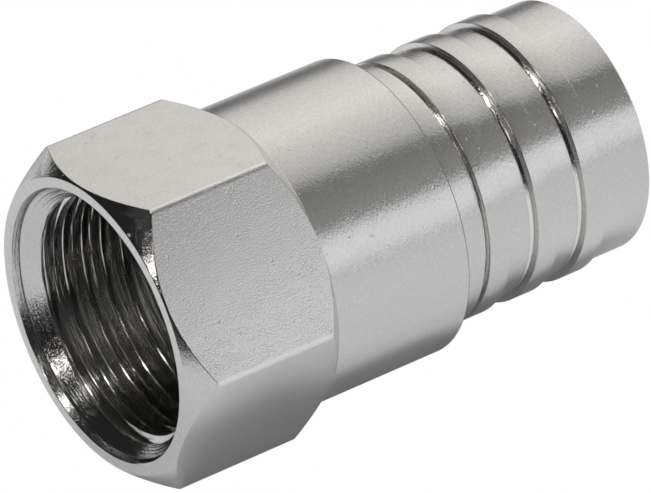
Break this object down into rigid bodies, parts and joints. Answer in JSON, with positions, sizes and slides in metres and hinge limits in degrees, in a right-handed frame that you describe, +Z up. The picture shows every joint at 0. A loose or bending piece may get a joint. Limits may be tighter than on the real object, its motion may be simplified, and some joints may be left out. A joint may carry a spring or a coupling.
{
  "type": "f connector",
  "caption": "Screw-on coaxial cable plug: a freely turning hexagonal coupling nut with an internal thread, on a flanged inner post with a grooved crimp sleeve.",
  "frame": {"origin": "centre of the coupling nut's mouth face, on the connector's axis", "axes": "+X along the axis, out of the mouth; +Z up, square to the hexagon's top and bottom flats"},
  "size_m": [0.0205, 0.0128, 0.011],
  "materials": {
    "nut_plating": "nickel plated, fine matt grain on the flats",
    "post_plating": "nickel plated, satin",
    "sleeve_plating": "nickel plated, satin turned"
  },
  "bodies": {
    "plug_body": {"flanged_post": "post_plating", "grooved_sleeve": "sleeve_plating"},
    "nut": {"coupling_nut": "nut_plating"}
  },
  "joints": [
    {"name": "nut_turn", "type": "hinge", "parent": "plug_body", "child": "nut", "pos_m": [-0.0112, 0, 0], "axis": [1, 0, 0], "continuous": true}
  ]
}
